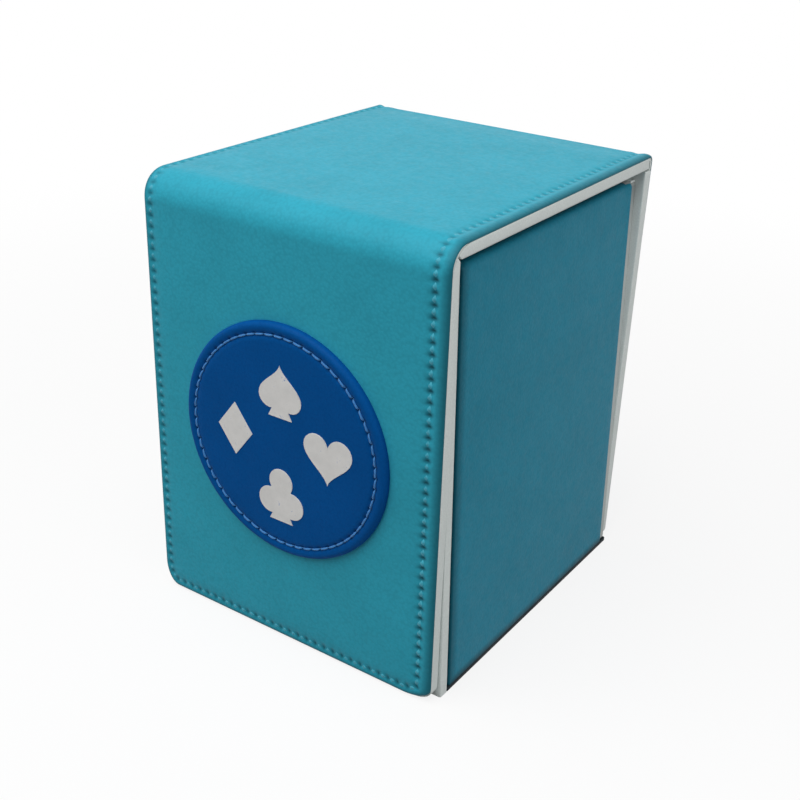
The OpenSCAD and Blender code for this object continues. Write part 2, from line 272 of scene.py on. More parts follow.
def fillet(corners, radii, steps):
    """Outline through the corners, each rounded with an arc."""
    corners = np.asarray(corners, float)
    outline = []
    for i, r in enumerate(radii):
        here = corners[i]
        back = corners[i - 1] - here
        ahead = corners[(i + 1) % len(corners)] - here
        back /= np.linalg.norm(back)
        ahead /= np.linalg.norm(ahead)
        between = math.acos(np.clip(back @ ahead, -1, 1))
        centre = here + (back + ahead) / np.linalg.norm(back + ahead) * r / math.sin(between / 2)
        start = here + back * r / math.tan(between / 2) - centre
        end = here + ahead * r / math.tan(between / 2) - centre
        turn = math.pi - between
        for share in np.linspace(0, 1, steps + 1):
            point = start * math.sin((1 - share) * turn) + end * math.sin(share * turn)
            outline.append(centre + point / math.sin(turn))
    return np.array(outline)


def unevenness(x, s):
    """Slight waviness of glued leatherette, from -1 to 1."""
    return np.array([noise.noise((a / UNEVEN_SPAN, b / UNEVEN_SPAN, 0)) for a, b in zip(x, s)])


# Materials. Most values of a noise lie in its span.

NOISE_SPAN = (0.3, 0.7)


def node(tree, kind, values=(), **settings):
    """Adds a node. values holds a value, or an output to link, for each input."""
    made = tree.nodes.new(kind)
    for key, value in settings.items():
        setattr(made, key, value)
    for key, value in dict(values).items():
        if isinstance(value, bpy.types.NodeSocket):
            tree.links.new(value, made.inputs[key])
        else:
            made.inputs[key].default_value = value
    return made


def start_material(name, on_sheet=False):
    """A material, its nodes, its surface and the place of its patterns: on the flat sheet, so that they
    follow a fold, or in the object's own space."""
    material = bpy.data.materials.new(name)
    material.use_nodes = True
    tree = material.node_tree
    if on_sheet:
        place = node(tree, "ShaderNodeUVMap", uv_map="sheet").outputs["UV"]
    else:
        place = node(tree, "ShaderNodeTexCoord").outputs["Object"]
    return material, tree, tree.nodes["Principled BSDF"], place


def noise_of(tree, place, size, detail=3, roughness=0.5):
    """Noise whose patches are about size metres across."""
    values = {"Vector": place, "Scale": 1 / size, "Detail": detail, "Roughness": roughness}
    return node(tree, "ShaderNodeTexNoise", values).outputs["Fac"]


def span(tree, value, low, high, to_low, to_high):
    values = {"Value": value, "From Min": low, "From Max": high, "To Min": to_low, "To Max": to_high}
    return node(tree, "ShaderNodeMapRange", values).outputs["Result"]


def blend_colours(tree, factor, a, b):
    values = {"Fac": factor, "Color1": a, "Color2": b}
    return node(tree, "ShaderNodeMixRGB", values).outputs["Color"]


def shade(colour, factor):
    return tuple(factor * c for c in colour) + (1,)


def vary(tree, factor, colour, dark, light):
    """A colour that drifts with a noise between two shades of itself."""
    share = span(tree, factor, *NOISE_SPAN, 0, 1)
    return blend_colours(tree, share, shade(colour, dark), shade(colour, light))


def coat(tree, surface, tone, rough, relief):
    """Sets the surface's colour, its roughness (noise, lowest, highest) and its bump (height, depth)."""
    factor, low, high = rough
    height, depth = relief
    bump = node(tree, "ShaderNodeBump", {"Height": height, "Distance": depth, "Strength": 1})
    tree.links.new(tone, surface.inputs["Base Color"])
    tree.links.new(span(tree, factor, *NOISE_SPAN, low, high), surface.inputs["Roughness"])
    tree.links.new(bump.outputs["Normal"], surface.inputs["Normal"])


def leatherette(name, colour, on_sheet=False, grain=0.7 * MM, depth=0.03 * MM, gloss=0.46, shine=0.22):
    """Coated fabric with a fine pebbled grain and soft mottling, darkened by painted shade where its points
    are marked: in needle holes, on rolled edges and beside grooves.
    """
    material, tree, surface, place = start_material(name, on_sheet)
    pebbles = node(
        tree,
        "ShaderNodeTexVoronoi",
        {"Vector": place, "Scale": 1 / grain, "Smoothness": 0.7, "Randomness": 0.9},
        feature="SMOOTH_F1",
    ).outputs["Distance"]
    creases = noise_of(tree, place, 2.2 * MM, detail=6, roughness=0.6)
    mottling = noise_of(tree, place, 14 * MM, detail=4, roughness=0.55)
    tone = vary(tree, mottling, colour, 0.94, 1.05)
    valleys = span(tree, pebbles, 0.35, 0.75, 0, 0.2)
    tone = blend_colours(tree, valleys, tone, shade(colour, 0.55))
    # Painted shade where the points are marked: needle holes, rolled edges, the walls' edges
    holes = node(tree, "ShaderNodeAttribute", attribute_name="painted_shade").outputs["Fac"]
    tone = blend_colours(tree, holes, tone, shade(colour, 0.16))
    relief = node(
        tree, "ShaderNodeMath", {0: creases, 1: 0.6, 2: span(tree, pebbles, 0, 0.8, 1, 0)},
        operation="MULTIPLY_ADD",
    ).outputs["Value"]
    surface.inputs["Specular IOR Level"].default_value = shine
    coat(tree, surface, tone, (creases, gloss - 0.07, gloss + 0.08), (relief, depth))
    return material


def cut_edge(name, colour):
    """The sheet's cut edge and its woven back, rubbed and dark."""
    material, tree, surface, place = start_material(name)
    fibres = noise_of(tree, place, 0.5 * MM, detail=5, roughness=0.7)
    patches = noise_of(tree, place, 6 * MM)
    tone = vary(tree, fibres, colour, 0.7, 1.3)
    tone = blend_colours(tree, span(tree, patches, 0.45, 0.75, 0, 0.4), tone, shade(colour, 1.8))
    coat(tree, surface, tone, (fibres, 0.6, 0.8), (fibres, 0.06 * MM))
    return material


def lining(name, colour):
    """Pale brushed lining with a short nap and faint scuffs, with painted shade where its points are marked.
    """
    material, tree, surface, place = start_material(name)
    nap = noise_of(tree, place, 0.45 * MM, detail=6, roughness=0.7)
    brushing = noise_of(tree, place, 5 * MM, detail=4)
    scuffs = noise_of(tree, place, 22 * MM, detail=5, roughness=0.6)
    tone = vary(tree, nap, colour, 0.88, 1.06)
    tone = blend_colours(tree, span(tree, brushing, 0.35, 0.7, 0, 0.5), tone, shade(colour, 0.92))
    tone = blend_colours(tree, span(tree, scuffs, 0.55, 0.8, 0, 0.35), tone, shade(colour, 0.8))
    # Painted shade where the points are marked
    lining_shade = node(tree, "ShaderNodeAttribute", attribute_name="painted_shade").outputs["Fac"]
    tone = blend_colours(tree, lining_shade, tone, shade(colour, 0.3))
    surface.inputs["Specular IOR Level"].default_value = 0.25
    surface.inputs["Sheen Weight"].default_value = 0.25
    surface.inputs["Sheen Roughness"].default_value = 0.5
    coat(tree, surface, tone, (nap, 0.78, 0.95), (nap, 0.05 * MM))
    return material


def thread_material(name, colour):
    """Twisted polyester thread, lighter on its ridges."""
    material, tree, surface, place = start_material(name, on_sheet=True)
    fibres = noise_of(tree, place, 0.18 * MM, detail=4, roughness=0.7)
    lengths = noise_of(tree, place, 4 * MM)
    tone = vary(tree, fibres, colour, 0.7, 1.25)
    tone = blend_colours(tree, span(tree, lengths, 0.4, 0.7, 0, 0.4), tone, shade(colour, 0.75))
    surface.inputs["Sheen Weight"].default_value = 0.2
    coat(tree, surface, tone, (fibres, 0.5, 0.75), (fibres, 0.04 * MM))
    return material


def ink(name, colour, ground):
    """White print on the badge, thin over the grain and rubbed in a few places."""
    material, tree, surface, place = start_material(name)
    grain = noise_of(tree, place, 0.6 * MM, detail=6, roughness=0.65)
    patches = noise_of(tree, place, 3.5 * MM, detail=5, roughness=0.6)
    tone = vary(tree, patches, colour, 0.93, 1.05)
    worn = node(tree, "ShaderNodeMath", {0: grain, 1: patches}, operation="MULTIPLY").outputs["Value"]
    tone = blend_colours(tree, span(tree, worn, 0.36, 0.46, 0, 0.6), tone, shade(ground, 1.6))
    coat(tree, surface, tone, (grain, 0.5, 0.66), (grain, 0.03 * MM))
    return material


def fibrous(name, colour, size, depth, rough):
    """Pressed board or foam: specks and pores with slow changes of tone."""
    material, tree, surface, place = start_material(name)
    specks = noise_of(tree, place, size, detail=6, roughness=0.75)
    drift = noise_of(tree, place, 20 * size)
    tone = vary(tree, specks, colour, 0.7, 1.2)
    tone = blend_colours(tree, span(tree, drift, 0.35, 0.7, 0, 0.4), tone, shade(colour, 0.85))
    coat(tree, surface, tone, (specks, rough - 0.08, rough + 0.05), (specks, depth))
    return material


def plated(name, colour):
    """Nickel plate with fine turning marks and dull patches."""
    material, tree, surface, place = start_material(name)
    marks = node(
        tree, "ShaderNodeTexWave", {"Vector": place, "Scale": 1 / (3 * MM), "Distortion": 4, "Detail": 3},
        wave_type="RINGS",
    ).outputs["Fac"]
    dull = noise_of(tree, place, 2 * MM, detail=5)
    tone = blend_colours(tree, dull, shade(colour, 0.85), shade(colour, 1.1))
    surface.inputs["Metallic"].default_value = 1
    coat(tree, surface, tone, (dull, 0.22, 0.4), (marks, 0.01 * MM))
    return material


cover_skin = leatherette("cover_skin", TEAL, on_sheet=True, shine=0.11)
wall_skin = leatherette("wall_skin", WALL_TEAL, shine=0.08)
base_skin = leatherette("base_skin", DARK, grain=0.9 * MM, shine=0.05)
badge_skin = leatherette("badge_skin", BLUE, grain=0.55 * MM, depth=0.02 * MM, gloss=0.5, shine=0.04)
skin_edge = cut_edge("skin_edge", EDGE_TEAL)
pale = lining("pale_lining", PALE)
teal_thread = thread_material("teal_thread", TEAL_THREAD)
blue_thread = thread_material("blue_thread", BLUE_THREAD)
print_ink = ink("print_ink", INK, BLUE)
board = fibrous("pressed_board", BOARD, 0.7 * MM, 0.06 * MM, 0.85)
foam = fibrous("foam", FOAM, 0.5 * MM, 0.1 * MM, 0.92)
nickel = plated("nickel", NICKEL)


# The cover, laid out flat: x across it, and s along it from the flap's lower edge, over the fold,
# the lid and the hinge, down to the rear panel's lower edge

flap_run = fold_z - low_z
fold_run = fold_r * QUARTER
lid_run = hinge_y - fold_y
hinge_run = hinge_r * QUARTER
rear_run = hinge_z - low_z
lid_start = flap_run + fold_run
lid_stop = lid_start + lid_run
rear_start = lid_stop + hinge_run
cover_run = rear_start + rear_run

# Stitches down one side between the corner zones, and those on the front stretch, up to its seam on the lid

side_stitches = round((cover_run - 2 * ZONE) / STITCH_PITCH)
side_pitch = (cover_run - 2 * ZONE) / side_stitches
front_stitches = math.floor((lid_stop - SEAM_BACK - ZONE) / side_pitch) + 0.5
rear_stitches = side_stitches - front_stitches


def on_cover(x, s, lift):
    """Points lift above the cover's outer face, at x and s on the flat sheet."""
    fold = np.clip((s - flap_run) / fold_r, 0, QUARTER)
    hinge = np.clip((s - lid_stop) / hinge_r, 0, QUARTER)
    y = front_y + fold_r * (1 - np.cos(fold)) + np.clip(s - lid_start, 0, lid_run) + hinge_r * np.sin(hinge)
    z = low_z + np.minimum(s, flap_run) + fold_r * np.sin(fold)
    z = z - hinge_r * (1 - np.cos(hinge)) - np.maximum(s - rear_start, 0)
    turn = fold + hinge
    return np.stack([x, y - lift * np.cos(turn), z + lift * np.sin(turn)], axis=-1)


def rear_narrowing(s, most):
    """Share of its width that the rear panel loses, from none at the hinge to most at its lower end."""
    return most / half_w * np.clip((s - lid_stop) / (cover_run - lid_stop), 0, 1)


def fold_inside(turn, corner_r):
    """Distance from the fold's centre to a layer inside its skin, which lies flat against both panels and has
    a corner of its own radius between them. turn runs from 0 at the flap to a right angle at the lid."""
    flat = fold_r - EDGE_T
    middle = flat - corner_r
    along = middle * (np.cos(turn) + np.sin(turn))
    on_corner = along + np.sqrt(np.maximum(along**2 - 2 * middle**2 + corner_r**2, 0))
    on_flat = flat / np.maximum(np.cos(turn), np.sin(turn))
    past_corner = on_flat * np.minimum(np.cos(turn), np.sin(turn)) < middle
    return np.where(past_corner, on_flat, on_corner)


def cover_depth(s):
    """Thickness of the skin beside the foam. It is pressed thin round the fold's corner."""
    turn = np.clip((s - flap_run) / fold_r, 0, QUARTER)
    return fold_r - fold_inside(turn, FOLD_BACK_R)


def soft_corner(side, low, reach):
    """A lower corner of a ring inside the sheet's edge, from the side down to the lower edge, as distances
    to those two. reach is how far the rounding goes along the lower edge and up the side."""
    wide, tall = max(reach[0] - side, SPECK), max(reach[1] - low, SPECK)
    turn = np.linspace(0, QUARTER, 61)
    to_side = np.concatenate([[side], side + wide * (1 - np.cos(turn)), [ZONE]])
    to_low = np.concatenate([[ZONE], low + tall * (1 - np.sin(turn)), [low]])
    run = np.concatenate([[0], np.cumsum(np.hypot(np.diff(to_side), np.diff(to_low)))])
    steps = np.linspace(0, run[-1], 2 * ARM_STEPS + 1)[1:-1]
    return np.interp(steps, run, to_side), np.interp(steps, run, to_low)


class Stretch:
    """A stretch of the cover, from a panel's rounded lower end to the seam on the lid.
    t is the distance from the lower edge."""

    def __init__(self, stitches, at_rear, corners):
        self.at_rear = at_rear
        self.corners = corners
        self.seam = ZONE + stitches * side_pitch
        fine = 3
        step = side_pitch / ROWS_PER_STITCH / fine
        t = ZONE + step * np.arange(round(stitches * ROWS_PER_STITCH) * fine + 1)
        bend = self.along(t)
        in_hinge = (bend > lid_stop - step) & (bend < rear_start + step)
        self.rows = t[(np.arange(len(t)) % fine == 0) | in_hinge][::-1]
        columns = round((half_w - ZONE) / STITCH_PITCH) * ROWS_PER_STITCH
        self.bottom = np.linspace(half_w - ZONE, 0, columns + 1)
        self.first_bottom = len(self.rows) + 2 * ARM_STEPS - 1
        self.line_x, self.line_t = self.ring(STITCH_INSET)
        self.holes = self.hole_runs()
        self.hole_x, self.hole_t = self.on_line(self.holes)
        ahead_x, ahead_t = self.on_line(self.holes + HOLE_STEP)
        self.hole_dx = (ahead_x - self.hole_x) / HOLE_STEP
        self.hole_dt = (ahead_t - self.hole_t) / HOLE_STEP

    def along(self, t):
        return cover_run - t if self.at_rear else t

    def place(self, x, t, lift):
        s = self.along(t)
        return on_cover(x * (1 - rear_narrowing(s, REAR_NARROW)), s, lift)

    def ring(self, d, even=False):
        """Points d inside the edge, from the seam on the right round the lower end to the seam on the left.
        Unless it is even, the ring lies nearer the edge on the left and along the lower end."""
        near = d if even else np.interp(d, [0, STITCH_INSET, LAST_RING], [0, NEAR_INSET, LAST_RING])
        low = np.full(len(self.bottom), near)
        x, t = [], []
        for inset, reach in zip((d, near), self.corners):
            side = np.full(len(self.rows), half_w - inset)
            to_side, to_low = soft_corner(inset, near, reach)
            x.append(np.concatenate([side, half_w - to_side, self.bottom]))
            t.append(np.concatenate([self.rows, to_low, low]))
        return np.concatenate([x[0], -x[1][-2::-1]]), np.concatenate([t[0], t[1][-2::-1]])

    def hole_runs(self):
        """Needle holes, as distances along the stitch line from the seam on the right."""
        steps = np.hypot(np.diff(self.line_x), np.diff(self.line_t))
        reach = np.concatenate([[0], np.cumsum(steps)])
        side, low = len(self.rows) - 1, self.first_bottom
        marks = reach[[0, side, low, -1 - low, -1 - side, -1]]
        marks[0] -= side_pitch / 2
        marks[-1] += side_pitch / 2
        holes = marks[:1]
        for start, stop in zip(marks, marks[1:]):
            count = round((stop - start) / side_pitch)
            holes = np.concatenate([holes, np.linspace(start, stop, count + 1)[1:]])
        return holes

    def on_line(self, runs):
        """x and t at distances along the stitch line, which goes on past the seam."""
        more = STITCH_PITCH
        x = np.concatenate([self.line_x[:1], self.line_x, self.line_x[-1:]])
        t = np.concatenate([self.line_t[:1] + more, self.line_t, self.line_t[-1:] + more])
        steps = np.hypot(np.diff(x), np.diff(t))
        reach = np.concatenate([[0], np.cumsum(steps)]) - more
        return np.interp(runs, reach, x), np.interp(runs, reach, t)

    def pits(self, x, t):
        """How deep in a needle hole each point is, from 0 to 1. The holes are pulled wide, less so on the lid
        and in the rows that run nearer the edge."""
        off_x, off_t = x[:, None] - self.hole_x, t[:, None] - self.hole_t
        along = (off_x * self.hole_dx + off_t * self.hole_dt) / PIT_ALONG
        across = (off_x * self.hole_dt - off_t * self.hole_dx) / PIT_ACROSS
        on_lid = np.clip((self.along(t) - flap_run) / fold_run, 0, 1)
        wide = np.where(x > 0, np.clip(t / ZONE, 0, 1), 0)
        strength = (1 - (1 - LID_PITS) * on_lid) * (NEAR_PITS + (1 - NEAR_PITS) * wide)
        return strength * np.exp(-(along**2 + across**2).min(axis=1) / 2)

    def pressed(self, t):
        """1 where the skin is pulled tight over the hinge, down to 0 away from it."""
        return np.exp(-(((self.along(t) - lid_stop) / HINGE_DIP_W) ** 2))

    def skin_lift(self, x, t, d):
        """Height of the skin's face over the panel's outer plane, and its painted shade in the needle holes
        and on the rolled edge.
        """
        depth = cover_depth(self.along(t))
        out = np.clip(1 - d / EDGE_W, 0, 1)
        edge = EDGE_DEPTH * depth / EDGE_T * (1 - np.sqrt(1 - out**2))
        dip = SEAM_DIP * np.exp(-(((d - STITCH_INSET) / SEAM_W) ** 2))
        inside = np.maximum(d - STITCH_INSET, 0)
        crown = CROWN * (1 - np.exp(-inside / CROWN_W))
        inner = np.minimum(d / LAST_RING, 1)
        wave = UNEVEN * unevenness(x, self.along(t)) * inner
        pressed = self.pressed(t)
        crown = crown * (1 - pressed) - HINGE_DIP * pressed * inner
        pits = self.pits(x, t)
        sewn = np.minimum(dip + PIT_DEPTH * pits, SEWN_MOST * depth)
        # Painted shade on the rolled edge, wider near the lower end, and in the needle holes
        at_end = np.clip((ZONE - t) / ZONE, 0, 1)
        edge_shade = EDGE_SHADE * np.clip(1 - d / (SHADE_W + END_SHADE_W * at_end), 0, 1)
        return crown + wave - edge - sewn, np.maximum(pits, edge_shade)

    def back_lift(self, x, t, d):
        """Height of the skin's back: down on the board round the edge and in the folds, and over the foam."""
        s = self.along(t)
        flat = (s < flap_run) | ((s > lid_start) & (s < lid_stop)) | (s > rear_start)
        over_foam = flat & (d > skin_lip)
        return np.where(over_foam, -skin_t, -cover_depth(s)), np.zeros(len(x))

    def surface(self, build, distances, height, finish, even=False):
        """One face of the sheet: rings round its edge and rows across its middle.
        Returns the outer ring and the row at the seam."""
        rings = []
        for d in distances:
            x, t = self.ring(d, even)
            lift, marks = height(x, t, np.full(len(x), d))
            rings.append(build.row(self.place(x, t, lift), np.stack([x, self.along(t)], axis=1), marks))
        for a, b in zip(rings, rings[1:]):
            build.add(bridge(a, b), finish)
        last = rings[-1]
        end = len(last) - 1
        across = np.concatenate([self.bottom, -self.bottom[-2::-1]])[::COARSE_COLUMN]
        rows = []
        for i, t in enumerate(self.rows):
            t = np.full(len(across), t)
            lift, marks = height(across, t, np.minimum(half_w - np.abs(across), t))
            flat = np.stack([across, self.along(t)], axis=1)
            inner = build.row(self.place(across, t, lift), flat, marks)
            rows.append([last[i], *inner, last[end - i]])
        for a, b in zip(rows, rows[1:]):
            build.add(bridge(a, b), finish)
        inner = rows[-1][1:-1]
        first, row_end = self.first_bottom, len(self.rows) - 1
        lower = [last[row_end:first + 1] + inner[:1]]
        for k in range(len(inner) - 1):
            start = first + k * COARSE_COLUMN
            lower.append(last[start:start + COARSE_COLUMN + 1] + [inner[k + 1], inner[k]])
        lower.append(last[end - first:end - row_end + 1] + inner[-1:])
        build.add(lower, finish)
        seam = [ring[0] for ring in rings] + rows[0][1:-1] + [ring[-1] for ring in rings[::-1]]
        return rings[0], seam

    def skin(self, name):
        build = Build()
        turns = np.linspace(0, QUARTER, 10)
        rounded = EDGE_W * (1 - np.cos(turns))
        lip = np.linspace(EDGE_W, STITCH_INSET - SEAM_W, 3)[1:]
        sewn = np.linspace(STITCH_INSET - SEAM_W, STITCH_INSET + SEAM_W, 11)[1:]
        inside = np.linspace(STITCH_INSET + SEAM_W, LAST_RING, 4)[1:]
        face = np.concatenate([rounded, lip, sewn, inside])
        back = [0, skin_lip, skin_lip + FOAM_STEP, LAST_RING]
        face_edge, face_seam = self.surface(build, face, self.skin_lift, 0)
        back_edge, back_seam = self.surface(build, back, self.back_lift, 1, even=True)
        build.add(bridge(face_edge, back_edge), 1)
        build.add([face_seam + back_seam[::-1]], 1)
        return build.make(name, [cover_skin, skin_edge])

    def stitch_paths(self):
        """Centre lines of the stitches and the directions out of the skin along them."""
        holes = self.holes
        steps = np.linspace(0, 1, 11)
        runs = holes[:-1, None] + steps * np.diff(holes)[:, None]
        x, t = self.on_line(runs.ravel())
        dive = np.abs(2 * steps - 1) ** THREAD_BOW
        lift = np.tile(-THREAD_SUNK * THREAD_R - SEAM_DIP - THREAD_DIVE * THREAD_R * dive, len(runs))
        lift = lift - HINGE_DIP * self.pressed(t) * STITCH_INSET / LAST_RING
        centre = self.place(x, t, lift)
        out = (self.place(x, t, lift + MM) - centre) / MM
        shape = (*runs.shape, 3)
        return centre.reshape(shape), out.reshape(shape)


def thread(name, centre, out, material, half_w=THREAD_W, half_h=THREAD_R, sides=8, twist=7.0, ply=0.1):
    """Stitches of flattened two-ply thread along centre lines, one after another."""
    build = Build()
    ahead = np.gradient(centre, axis=1)
    ahead /= np.linalg.norm(ahead, axis=2, keepdims=True)
    aside = np.cross(ahead, out)
    around = np.linspace(0, 2 * math.pi, sides, endpoint=False)
    length = np.linspace(0, 1, centre.shape[1])
    for line, side, up in zip(centre, aside, out):
        rows = []
        for k, share in enumerate(length):
            r = 1 + ply * np.cos(2 * around + twist * share)
            across = half_w * r * np.cos(around)
            above = half_h * r * np.sin(around)
            ring = line[k] + across[:, None] * side[k] + above[:, None] * up[k]
            flat = np.stack([around * half_h, np.full(sides, share * STITCH_PITCH)], axis=1)
            rows.append(build.row(ring, flat + line[k][[0, 2]]))
        for a, b in zip(rows, rows[1:]):
            build.add(bridge(a, b, closed=True))
        build.add([rows[0][::-1], rows[-1]])
    return build.make(name, [material], sharp=80)


front = Stretch(front_stitches, False, FLAP_CORNERS)
rear = Stretch(rear_stitches, True, REAR_CORNERS)

front_cover = front.skin("front_cover")
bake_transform(front_cover)
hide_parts("lid_skin", "front_fold_skin", "flap_skin")

rear_cover = rear.skin("rear_cover")
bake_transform(rear_cover)
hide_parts("rear_panel_skin", "rear_hinge_skin")

front_thread = thread("front_stitches", *front.stitch_paths(), teal_thread)
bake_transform(front_thread)
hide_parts("flap_stitching", "lid_stitching")

rear_centre, rear_out = rear.stitch_paths()
rear_thread = thread("rear_stitches", rear_centre[1:-1], rear_out[1:-1], teal_thread)
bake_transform(rear_thread)
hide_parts("rear_stitching")


# Lined boards behind the skin

TURN_OVER = 1.8 * MM
WRAP_R = 0.35 * MM
WRAP_BACK_R = 0.06 * MM
SMALL_R = 0.3 * MM
SMALL_CORNERS = ((SMALL_R, SMALL_R), (SMALL_R, SMALL_R))
panel_t = flap_in_y - front_y
mitre = flap_in_y + lid_in_z


def fold_reach(depth_from_front, inset):
    """How far up a lined board reaches inside the fold, at a distance behind the cover's outer face.
    The boards of flap and lid meet on a mitre and are rounded to lie inside the folded skin."""
    centre = EDGE_T + SLAB_R
    on_mitre = mitre - front_y - top_z - (FOLD_GAP / 2 + inset) * math.sqrt(2) - depth_from_front
    on_arc = math.sqrt(max((SLAB_R - inset) ** 2 - (centre - depth_from_front) ** 2, 0)) - centre
    return min(on_mitre, on_arc)


def wrap_levels(depth0, depth1, outer_r, inner_r, steps=6, between=8):
    """Depths and insets round a wrapped board: up inside the lining, along its edge that is turned over the
    board under the skin's lip, and round to its inner face."""
    turns = np.linspace(0, QUARTER, steps)
    levels = [(depth1 - LINING_T, LINING_T), (cover_t, LINING_T), (cover_t, TURN_OVER), (depth0, TURN_OVER)]
    levels += [(depth0 + outer_r * (1 - math.cos(a)), outer_r * (1 - math.sin(a))) for a in turns]
    levels += [(d, 0) for d in np.linspace(depth0 + outer_r, depth1 - inner_r, between)[1:-1]]
    levels += [(depth1 - inner_r * (1 - math.sin(a)), inner_r * (1 - math.cos(a))) for a in turns]
    return levels


def panel_ring(x, z0, z1, corners, high_r, steps=8):
    """Outline of a board. corners are the reaches of its lower right and left corners, along and up."""
    (right_x, right_z), (left_x, left_z) = corners
    rise = np.sin(np.linspace(0, QUARTER, steps + 1))
    fall = rise[::-1]
    arcs = [
        (-x + left_x * (1 - fall), z0 + left_z * (1 - rise)),
        (x - right_x * (1 - rise), z0 + right_z * (1 - fall)),
        (x - high_r * (1 - fall), z1 - high_r * (1 - rise)),
        (-x + high_r * (1 - rise), z1 - high_r * (1 - fall)),
    ]
    return np.concatenate([np.stack(arc, axis=1) for arc in arcs])


flap_rings, lid_rings, rear_rings = [], [], []
for depth, inset in wrap_levels(EDGE_T, panel_t, WRAP_BACK_R, WRAP_R):
    reach = fold_reach(depth, inset)
    across = half_w - inset
    corners = [[max(r - inset, SMALL_R) for r in corner] for corner in FLAP_BOARD_CORNERS]
    outline = panel_ring(across, low_z + inset, top_z + reach, corners, SMALL_R)
    y = np.full(len(outline), front_y + depth)
    flap_rings.append(np.stack([outline[:, 0], y, outline[:, 1]], axis=1))
    outline = panel_ring(across, front_y - reach, lid_end_y - inset, SMALL_CORNERS, SMALL_R)
    z = np.full(len(outline), top_z - depth)
    lid_rings.append(np.stack([outline[:, 0], outline[:, 1], z], axis=1))
    corners = [[max(r - inset, SMALL_R) for r in corner] for corner in REAR_BOARD_CORNERS]
    outline = panel_ring(across, low_z + inset, rear_top_z - inset, corners, SMALL_R)
    x = outline[:, 0] * (1 - rear_narrowing(cover_run - outline[:, 1] + low_z, BOARD_NARROW))
    rear_rings.append(np.stack([x, np.full(len(outline), rear_y - depth), outline[:, 1]], axis=1))

for name, rings, body in (
    ("flap_lining", flap_rings, "flap"),
    ("lid_lining", lid_rings, "lid"),
    ("rear_panel_lining", rear_rings, "tray"),
):
    piece = stacked(name + "_wrap", rings, [pale])
    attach(piece, body)
    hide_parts(name)


# Foam under the skin

FOAM_EDGE_R = 0.3 * MM
FOAM_GAP = 0.3 * MM
FOAM_END = 0.6 * MM


def foam_rings(to_place, x, z0, z1, low_r):
    """A thin pad with soft edges, from the board up to the skin's back."""
    rings = []
    for a in np.linspace(0, QUARTER, 5):
        inset = FOAM_EDGE_R * (1 - math.cos(a))
        lift = (skin_t - cover_t) * (1 - math.sin(a)) - skin_t - HAIR
        corner = low_r - inset
        outline = panel_ring(x - inset, z0 + inset, z1 - inset, ((corner, corner), (corner, corner)), corner)
        rings.append(to_place(outline[:, 0], outline[:, 1], np.full(len(outline), lift)))
    return rings


pad_x = half_w - skin_lip - FOAM_GAP
pad_low = skin_lip + FOAM_GAP
for name, body, start, stop in (
    ("flap_padding", "flap", pad_low, flap_run - FOAM_END),
    ("lid_padding", "lid", lid_start + FOAM_END, lid_stop - FOAM_END),
    ("rear_panel_padding", "tray", cover_run - (rear_top_z - low_z) + FOAM_END, cover_run - pad_low),
):
    piece = stacked(name + "_foam", foam_rings(on_cover, pad_x, start, stop, skin_lip), [foam])
    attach(piece, body)
    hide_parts(name)


# Lining strips inside the two folds

STRIP_END = 0.1 * MM


def strip(name, profile, thick):
    """A thin strip across the box along a profile of (y, z, outward y, outward z)."""
    build = Build()
    columns = np.linspace(STRIP_END - half_w, half_w - STRIP_END, 21)
    sides = []
    for depth in (0, thick):
        rows = []
        for y, z, out_y, out_z in profile:
            line = [(x, y + depth * out_y, z + depth * out_z) for x in columns]
            rows.append(build.row(line))
        for a, b in zip(rows, rows[1:]):
            build.add(bridge(a, b))
        sides.append(rows)
    under, over = sides
    for k in (0, -1):
        build.add(bridge(under[k], over[k]))
        build.add(bridge([row[k] for row in under], [row[k] for row in over]))
    piece = build.make(name, [pale])
    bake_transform(piece)
    return piece


turns = np.linspace(0, QUARTER, 19)
fold_profile = []
for a in turns[1:-1]:
    thin = math.sin(2 * a)
    r = fold_inside(a, FOLD_BACK_R) - thin * STRIP_T - HAIR
    out_y, out_z = -math.cos(a), math.sin(a)
    fold_profile.append((fold_y + r * out_y, fold_z + r * out_z, thin * out_y, thin * out_z))
fold_strip = strip("front_fold_strip", fold_profile, STRIP_T)
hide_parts("front_fold_lining")

hinge_profile = [(hinge_y + HINGE_STRIP_R, hinge_strip_low_z, 1, 0)]
hinge_profile += [
    (hinge_y + HINGE_STRIP_R * math.cos(a), hinge_z + HINGE_STRIP_R * math.sin(a), math.cos(a), math.sin(a))
    for a in turns
]
hinge_strip = strip("rear_hinge_strip", hinge_profile, HINGE_STRIP_T)
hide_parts("rear_hinge_lining")


# Tray

WALL_CORNER_R = 1.2 * MM


def wall_x(z, depth):
    """Half-width of the tray at height z, at a depth inside its outer face."""
    return foot_x - RIM_INSET * z / rim_z - depth


def front_wall_ring(y, inset):
    """Outline of the tray's front wall with its thumb notch."""
    rim = rim_z - inset
    notch = NOTCH_W / 2 + inset
    notch_z = rim_z - NOTCH_DEPTH - inset
    low = wall_lo.z
    half = [(wall_x(low, inset), low), (wall_x(rim, inset), rim), (notch, rim), (notch, notch_z)]
    corners = half + [(-x, z) for x, z in half[::-1]]
    radii = [SMALL_R, WALL_CORNER_R, WALL_CORNER_R, notch - HAIR / 2]
    outline = fillet(corners, radii + radii[::-1], steps=12)
    return np.stack([outline[:, 0], np.full(len(outline), y), outline[:, 1]], axis=1)


turns = np.linspace(0, QUARTER, 6)
wrap = [(WRAP_R * (1 - math.sin(a)), WRAP_R * (1 - math.cos(a))) for a in turns]
levels = [(wall_lo.y + into, inset) for into, inset in wrap[::-1]]
levels += [(wall_hi.y - into, inset) for into, inset in wrap]
front_wall = stacked("front_wall_wrap", [front_wall_ring(y, inset) for y, inset in levels], [pale])
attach(front_wall, "tray")
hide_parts("front_wall_lining")

